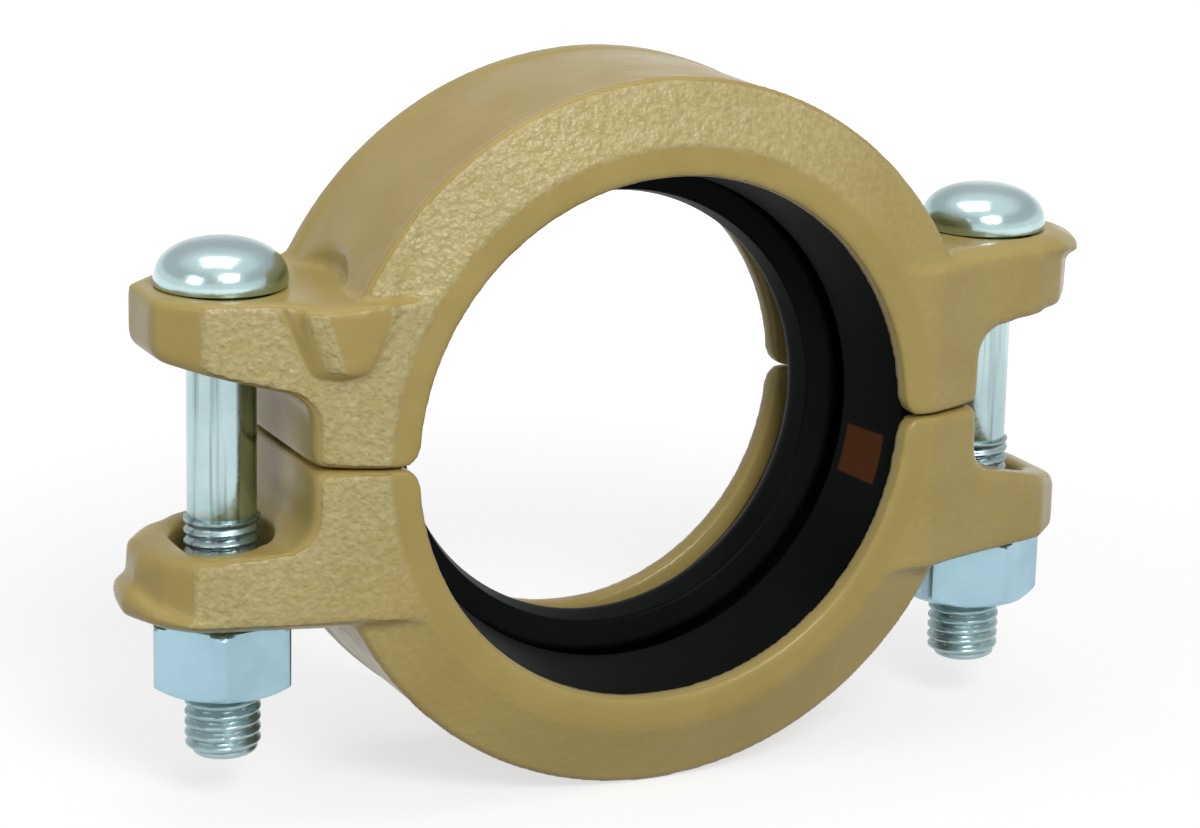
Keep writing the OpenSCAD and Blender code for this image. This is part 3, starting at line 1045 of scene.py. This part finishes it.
    def weigh(self, obj: bpy.types.Object) -> None:
        """Gives each vertex its share of the smoothing.

        Args:
            obj: The remeshed housing.
        """
        points = np.abs(self.points(obj))
        ear = np.clip((points[:, 0] - self.ear_x) / self.ear_fades[0], 0, 1) * self.ear_share
        corner = np.hypot(points[:, 0] - self.neck_x, points[:, 1] - self.flank_y)
        upright = np.clip(1 - corner / self.corner_reach, 0, 1)
        upright *= steps_between(points[:, 2], *self.corner_z) * self.corner_share
        under = steps_between(points[:, 2], *self.under_z)
        under *= steps_between(points[:, 0], *self.under_x) * self.under_share
        weights = np.clip(np.maximum(np.maximum(ear, under), upright), 0, 1)
        group = obj.vertex_groups.new(name="soft")
        for level in range(1, self.weight_levels + 1):
            chosen = np.nonzero(np.round(weights * self.weight_levels) == level)[0]
            if len(chosen):
                group.add(chosen.tolist(), level / self.weight_levels, "REPLACE")


@dataclass(frozen=True)
class Corner:
    """A corner of the gasket's section, in millimetres: radius, place along the pipe and rounding."""

    radius: float
    y: float
    rounding: float


@dataclass
class Gasket:
    """The moulded rubber ring with its two sealing lips."""

    rubber: bpy.types.Material
    near_mouth: Corner = Corner(57.8, -21.6, 0.8)
    near_tip: Corner = Corner(53.0, -3.1, 1.0)
    near_root: Corner = Corner(57.2, -3.7, 1.6)
    near_hollow: Corner = Corner(62.6, -11.0, 3.0)
    far_hollow: Corner = Corner(62.6, 11.0, 3.0)
    far_root: Corner = Corner(53.45, 1.2, 1.6)
    far_tip: Corner = Corner(47.85, 2.6, 1.2)
    far_crest: Corner = Corner(46.45, 9.3, 5.0)
    far_mouth: Corner = Corner(53.05, 21.2, 0.8)
    shoulder: float = 2.4 * MM
    columns: int = 256
    steps: int = 7
    sharp_deg: float = 40.0

    def section(self) -> list[tuple[float, float]]:
        """The ring's section as pairs of radius and Y, in metres.

        Returns:
            The closed outline with its corners rounded.
        """
        _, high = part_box("gasket")
        lips = (
            self.near_mouth,
            self.near_tip,
            self.near_root,
            self.near_hollow,
            self.far_hollow,
            self.far_root,
            self.far_tip,
            self.far_crest,
            self.far_mouth,
        )
        inner = [(corner.radius * MM, corner.y * MM, corner.rounding * MM) for corner in lips]
        outline = [(high.x, -high.y, self.shoulder), *inner, (high.x, high.y, self.shoulder)]
        return arc_corner(outline, self.steps)

    def build(self) -> bpy.types.Object:
        """Turns the section about the pipe.

        Returns:
            The gasket, riding on the lower half.
        """
        shell = lathe(
            "gasket_shell",
            self.section(),
            lambda radius, y, turn: Vector((radius * math.cos(turn), y, radius * math.sin(turn))),
            self.columns,
            self.rubber,
        )
        made = join("gasket_ring", [shell], self.rubber, self.sharp_deg)
        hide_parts("gasket")
        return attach(made, "lower_half")


@dataclass
class Fastener:
    """A plated piece that stands on one bolt's axis."""

    side: Side
    zinc: bpy.types.Material
    kind = "fastener"

    @property
    def node(self) -> str:
        """The piece's node."""
        return f"{self.side.value}_{self.kind}"

    @property
    def axis_x(self) -> float:
        """Where the piece's axis lies along X."""
        low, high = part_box(self.node)
        return (low.x + high.x) / 2


@dataclass
class TrackBolt(Fastener):
    """A track-head bolt: a domed head on an oval neck, a plain shank and a rolled thread."""

    kind = "bolt"
    thread_r: float = 7.9375 * MM
    thread_depth: float = 0.95 * MM
    thread_len: float = 51.7 * MM
    shank_r: float = 7.2 * MM
    head_h: float = 9.8 * MM
    neck_half_l: float = 12.2 * MM
    neck_half_w: float = 9.0 * MM
    neck_h: float = 8.0 * MM
    tip_h: float = 3.2 * MM
    tip_share: float = 0.58
    cap: float = 1.2 * MM
    run_out: float = 2.5 * MM
    flank_gain: float = 2.6
    crest_share: float = 0.25
    rim_h: float = 1.3 * MM
    rim_bevel: Span = (0.7 * MM, 0.15 * MM)
    dome_power: float = 2.25
    dome_steps: int = 28
    neck_bevel: Span = (0.93, 0.6 * MM)
    neck_squareness: float = 6.0
    shank_run_in: Span = (0.9 * MM, 4.0 * MM)
    shank_start: float = 1.5 * MM
    columns: int = 72
    rows: int = 240
    head_columns: int = 96
    sharp_deg: float = 38.0

    @staticmethod
    def pitch() -> float:
        """The thread's pitch, from the turn that the nuts are coupled to the lift with."""
        return math.tau / frame["record"]["behaviour"]["couplings"][0]["ratio"]

    def thread_tree(self) -> bpy.types.NodeTree:
        """The thread as a rule: the radius follows the height and the turn.

        Returns:
            The geometry nodes tree, built once for both bolts.
        """
        known = bpy.data.node_groups.get("rolled_thread")
        if known:
            return known
        sizes = ("Axis X", "End Z", "Length", "Radius", "Depth", "Pitch")
        skin = SkinTree("rolled_thread", sizes, self.columns, self.rows)
        cap = self.cap
        run = skin.along * (skin.size("Length") + 2 * cap) - cap
        height = run.larger(0.0).smaller(skin.size("Length"))
        phase = (height / skin.size("Pitch") - skin.turn / math.tau).op("FRACT")
        flank = ((phase - 0.5).op("ABSOLUTE") * self.flank_gain - self.crest_share).between()
        top = (skin.size("Length") - height) / self.run_out
        groove = skin.size("Depth") * flank * top.between()
        tip = height.less_from(self.tip_h).larger(0.0) / self.tip_h
        dome = (tip * tip).less_from(1.0).larger(0.0).op("SQRT") * (1.0 - self.tip_share) + self.tip_share
        body = (skin.size("Radius") - groove * dome) * dome
        ends = ((run + cap) / cap).between() * ((run.less_from(cap) + skin.size("Length")) / cap).between()
        return skin.close(body * ends, height + skin.size("End Z"))

    def head_outline(self, top_z: float) -> list[tuple[float, float]]:
        """The domed head's outline.

        Args:
            top_z: The height of the head's crown.

        Returns:
            Pairs of radius and height, from the axis below to the axis above.
        """
        low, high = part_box(self.node)
        head_r = (high.x - low.x) / 2
        foot = top_z - self.head_h
        dome_foot, dome_h = foot + self.rim_h, self.head_h - self.rim_h
        power = 2 / self.dome_power
        dome = []
        for k in range(self.dome_steps):
            turn = math.pi / 2 * k / self.dome_steps
            dome.append((head_r * math.cos(turn) ** power, dome_foot + dome_h * math.sin(turn) ** power))
        below, beside = self.rim_bevel
        bevel = [(head_r - below, foot), (head_r - beside, foot + below / 2)]
        return [(0.0, foot), *bevel, *dome, (0.0, top_z)]

    def neck_point(self, radius: float, height: float, turn: float) -> Vector:
        """A point of the oval neck.

        Args:
            radius: 1 on the neck's wall and 0 on its axis.
            height: The point's height.
            turn: Its angle.

        Returns:
            The point on a slot-shaped outline, long along the pipe.
        """
        straight = self.neck_half_l - self.neck_half_w
        shift = straight * max(-1.0, min(1.0, self.neck_squareness * math.sin(turn)))
        x = self.neck_half_w * math.cos(turn)
        y = self.neck_half_w * math.sin(turn) + shift
        return Vector((self.axis_x + radius * x, radius * y, height))

    def build(self) -> bpy.types.Object:
        """Builds the bolt from its head, neck, shank and thread.

        Returns:
            The bolt as one piece, riding on the upper half.
        """
        low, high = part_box(self.node)
        seat = high.z - self.head_h
        axis = self.axis_x

        def turned(radius: float, height: float, turn: float) -> Vector:
            """A point turned about the bolt's axis."""
            return Vector((axis + radius * math.cos(turn), radius * math.sin(turn), height))

        head = lathe("head", self.head_outline(high.z), turned, self.head_columns, self.zinc)
        foot = seat - self.neck_h
        below, bevel_h = self.neck_bevel
        neck_outline = [(0.0, foot), (below, foot), (1.0, foot + bevel_h), (1.0, seat + MM), (0.0, seat + MM)]
        neck = lathe("neck", neck_outline, self.neck_point, self.head_columns, self.zinc)
        thread_top, in_neck = low.z + self.thread_len, seat - self.neck_h / 2
        slimmer, run_in = self.shank_run_in
        shank_outline = [
            (0.0, thread_top - run_in),
            (self.shank_r - slimmer, thread_top - run_in),
            (self.shank_r, thread_top - self.shank_start),
            (self.shank_r, in_neck),
            (0.0, in_neck),
        ]
        shank = lathe("shank", shank_outline, turned, self.columns, self.zinc)
        values = {
            "Axis X": axis,
            "End Z": low.z,
            "Length": self.thread_len,
            "Radius": self.thread_r,
            "Depth": self.thread_depth,
            "Pitch": self.pitch(),
            "Material": self.zinc,
        }
        thread = grow("thread", self.thread_tree(), values)
        made = join(f"{self.node}_plated", [head, neck, shank, thread], self.zinc, self.sharp_deg)
        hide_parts(self.node)
        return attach(made, "upper_half")


@dataclass
class HeavyNut(Fastener):
    """A heavy hexagon nut, chamfered on both faces."""

    kind = "nut"
    turn_deg: float
    across_flats: float = 28.2 * MM
    bore_r: float = 8.0 * MM
    chamfer_slope: float = 2.75 / 1.7
    chamfer_in: float = 0.3 * MM
    corner_in: float = 0.012
    corner_blend: float = 0.5 * MM
    chamfer_blend: float = 0.35 * MM
    mouth: float = 0.9 * MM
    columns: int = 144
    rows: int = 112
    sharp_deg: float = 24.0

    def nut_tree(self) -> bpy.types.NodeTree:
        """The nut as a rule: at each height and turn the skin is the smaller of a hexagon and a cone.

        Returns:
            The geometry nodes tree, built once for both nuts.
        """
        known = bpy.data.node_groups.get("chamfered_nut")
        if known:
            return known
        sizes = ("Axis X", "Foot Z", "Height", "Turn", "Flat R", "Bore R")
        skin = SkinTree("chamfered_nut", sizes, self.columns, self.rows)
        height, flat_r, bore_r = skin.size("Height"), skin.size("Flat R"), skin.size("Bore R")
        # The section's four sides in turn: the foot face, the wall, the top face and the bore.
        lap = skin.along * 4.0
        up = (lap - 1.0).between()
        down = (lap - 3.0).between()
        level = (up - down) * height
        sixth = math.pi / 3
        facet = ((skin.turn - skin.size("Turn")) / sixth).op("FRACT") - 0.5
        hexagon = flat_r / (facet * sixth).op("COSINE")
        rounded_corner = flat_r * (1 / math.cos(math.pi / 6) - self.corner_in)
        edge = level.smaller(height - level)
        cone = flat_r - self.chamfer_in + edge * self.chamfer_slope
        wall = hexagon.op("SMOOTH_MIN", rounded_corner, self.corner_blend)
        wall = wall.op("SMOOTH_MIN", cone, self.chamfer_blend)
        mouth = edge.less_from(self.mouth).larger(0.0)
        bore = bore_r + mouth
        reach = lap.between() - (lap - 2.0).between()
        return skin.close(bore + (wall - bore) * reach, level + skin.size("Foot Z"))

    def build(self) -> bpy.types.Object:
        """Grows the nut from its rule.

        Returns:
            The nut, riding on its own body.
        """
        low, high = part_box(self.node)
        values = {
            "Axis X": self.axis_x,
            "Foot Z": low.z,
            "Height": high.z - low.z,
            "Turn": math.radians(self.turn_deg),
            "Flat R": self.across_flats / 2,
            "Bore R": self.bore_r,
            "Material": self.zinc,
        }
        skin = grow("nut_skin", self.nut_tree(), values)
        made = join(f"{self.node}_plated", [skin], self.zinc, self.sharp_deg)
        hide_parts(self.node)
        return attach(made, self.node)


@dataclass(frozen=True)
class Lamp:
    """A square lamp: its place, its side, and what share of its colour a surface facing it shows."""

    name: str
    place: tuple[float, float, float]
    size: float
    level: float


@dataclass
class Studio:
    """A pale floor, soft lamps and the camera at the photograph's angle."""

    azimuth_deg: float = 25.293
    elevation_deg: float = 14.812
    roll_deg: float = 1.342
    distance: float = 0.77973
    focal_px: float = 3635.2
    image_w_px: float = 1200.0
    sensor_mm: float = 36.0
    aim_right: float = 3.431 * MM
    aim_up: float = 0.590 * MM
    ambient: float = 0.36
    ceiling: tuple[Span, Span] = ((0.1, 0.35), (0.95, 0.6))
    ceiling_dimming: float = -0.9
    floor_span: float = 6.0
    floor_gap: float = 0.1 * MM
    floor_grey: float = 0.36
    floor_glow: Span = (0.67, 0.35)
    glow_reach: Span = (0.12, 0.7)
    lamps: tuple[Lamp, ...] = (
        Lamp("key", (-0.12, -0.95, 0.72), 0.45, 0.635),
        Lamp("fill", (-0.9, -0.35, 0.4), 0.4, 0.12),
        Lamp("top", (-0.1, 0.05, 1.0), 0.6, 0.22),
    )

    def axes(self) -> tuple[Vector, Vector, Vector]:
        """The camera's right, up and back directions."""
        a, e, roll = (math.radians(v) for v in (self.azimuth_deg, self.elevation_deg, self.roll_deg))
        back = Vector((-math.sin(a) * math.cos(e), -math.cos(a) * math.cos(e), math.sin(e)))
        level = Vector((math.cos(a), -math.sin(a), 0.0))
        upright = level.cross(-back)
        right = level * math.cos(roll) + upright * math.sin(roll)
        up = upright * math.cos(roll) - level * math.sin(roll)
        return right, up, back

    def camera(self) -> bpy.types.Object:
        """Adds the camera and makes it the scene's own.

        Returns:
            The camera.
        """
        right, up, back = self.axes()
        data = bpy.data.cameras.new("photo_camera")
        data.sensor_width = self.sensor_mm
        data.lens = self.focal_px / self.image_w_px * self.sensor_mm
        camera = add("photo_camera", data)
        spot = back * self.distance - right * self.aim_right - up * self.aim_up
        camera.matrix_world = Matrix.Translation(spot) @ Matrix((right, up, back)).transposed().to_4x4()
        bpy.context.scene.camera = camera
        return camera

    @staticmethod
    def hang(lamp: Lamp) -> bpy.types.Object:
        """Adds a lamp that faces the coupling.

        Args:
            lamp: The lamp's sizes.

        Returns:
            The lamp.
        """
        place = Vector(lamp.place)
        data = bpy.data.lights.new(lamp.name, "AREA")
        data.size = lamp.size
        data.energy = lamp.level * math.pi**2 * place.length_squared
        hung = add(lamp.name, data)
        hung.location = place
        hung.rotation_euler = (-place).to_track_quat("-Z", "Y").to_euler()
        return hung

    def world(self) -> None:
        """Lights the scene evenly. The camera sees white, and reflections see a dimmer band high up."""
        world = bpy.data.worlds.new("studio")
        world.use_nodes = True
        tree = world.node_tree
        path = tree.nodes.new("ShaderNodeLightPath")
        seen = Num(tree, path.outputs["Is Camera Ray"])
        seen = seen.larger(Num(tree, path.outputs["Is Transmission Ray"]))
        _, _, height = split(tree, tree.nodes.new("ShaderNodeTexCoord").outputs["Generated"])
        lower, upper = self.ceiling
        band = height.ramp(*lower) * height.ramp(*upper)
        dimmed = band.less_from(1.0).ramp(self.ceiling_dimming, 1.0)
        mirrored = Num(tree, path.outputs["Is Glossy Ray"]) * dimmed
        strength = seen.larger(mirrored) * (1.0 - self.ambient) + self.ambient
        background = tree.nodes["Background"]
        background.inputs["Color"].default_value = (1.0, 1.0, 1.0, 1.0)
        tree.links.new(strength.socket, background.inputs["Strength"])
        bpy.context.scene.world = world

    def floor(self) -> bpy.types.Object:
        """Adds the pale floor under the ring.

        Returns:
            The floor.
        """
        span = self.floor_span
        level = CAD_LOW.z - self.floor_gap
        mesh = bpy.data.meshes.new("floor")
        corners = [(-span, -span, level), (span, -span, level), (span, span, level), (-span, span, level)]
        mesh.from_pydata(corners, [], [(0, 1, 2, 3)])
        floor = add("floor", mesh)
        shader = Shader("pale_floor")
        grey = self.floor_grey
        shader.set(Base_Color=(grey, grey, grey, 1.0), Roughness=0.9, Specular_IOR_Level=0.0)
        path = shader.tree.nodes.new("ShaderNodeLightPath")
        seen = Num(shader.tree, path.outputs["Is Camera Ray"])
        seen = seen.larger(Num(shader.tree, path.outputs["Is Glossy Ray"]))
        shader.set(Emission_Color=(1.0, 1.0, 1.0, 1.0))
        x, y, _ = shader.place()
        away = (x * x + y * y).op("SQRT").ramp(*self.glow_reach)
        near_glow, far_glow = self.floor_glow
        shader.feed("Emission Strength", seen * (away * far_glow + near_glow))
        mesh.materials.append(shader.material)
        return floor

    def build(self) -> None:
        """Sets up the view, the floor and the light."""
        bpy.context.scene.view_settings.view_transform = "Standard"
        self.camera()
        self.floor()
        self.world()
        for lamp in self.lamps:
            self.hang(lamp)


def main() -> None:
    """Builds the coupling's pieces in order and reports each one."""
    logging.basicConfig(level=logging.INFO, format="%(message)s")
    Studio().build()
    paint, rubber = OchrePaint().build(), MouldedRubber().build()
    zinc = BrightZinc().build()
    blue_zinc = BrightZinc(
        "blue_zinc", color=(0.39, 0.59, 0.67), cloudy=(0.31, 0.47, 0.54), thread_shade=0.0
    ).build()
    pieces = [
        *(Casting(half, paint).build() for half in Half),
        Gasket(rubber).build(),
        *(TrackBolt(side, zinc).build() for side in Side),
        HeavyNut(Side.LEFT, blue_zinc, turn_deg=11.0).build(),
        HeavyNut(Side.RIGHT, blue_zinc, turn_deg=32.0).build(),
    ]
    for piece in pieces:
        LOG.info("%s: %d faces", piece.name, len(piece.data.polygons))


if __name__ == "__main__":
    main()
